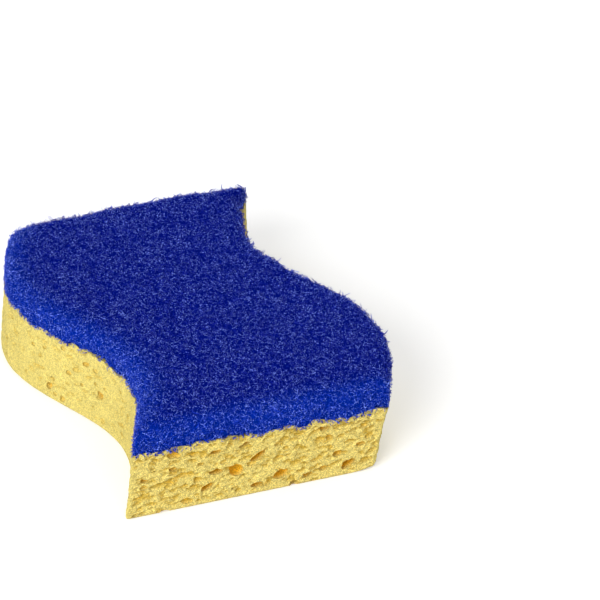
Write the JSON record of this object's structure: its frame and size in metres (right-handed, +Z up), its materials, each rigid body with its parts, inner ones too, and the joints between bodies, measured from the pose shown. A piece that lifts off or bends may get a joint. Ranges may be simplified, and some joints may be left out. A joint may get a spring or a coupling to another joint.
{
  "type": "cleaning sponge",
  "caption": "Wave-shaped cleaning sponge: a yellow open-pored cellulose block with a blue nonwoven scouring pad bonded to its upper face.",
  "frame": {"origin": "on the underside of the cellulose block, below the middle of the part", "axes": "+X across the sponge from one wave-shaped side to the other, +Y along its length from the front end to the back end, +Z up out of the scouring pad"},
  "size_m": [0.083, 0.1127, 0.0245],
  "materials": {
    "yellow_cellulose": "matt pale yellow regenerated cellulose foam with open pores",
    "blue_nonwoven": "tangled blue synthetic fibres, matt with fine glints"
  },
  "bodies": {
    "root": {"sponge_block": "yellow_cellulose", "scouring_pad": "blue_nonwoven"}
  },
  "joints": []
}
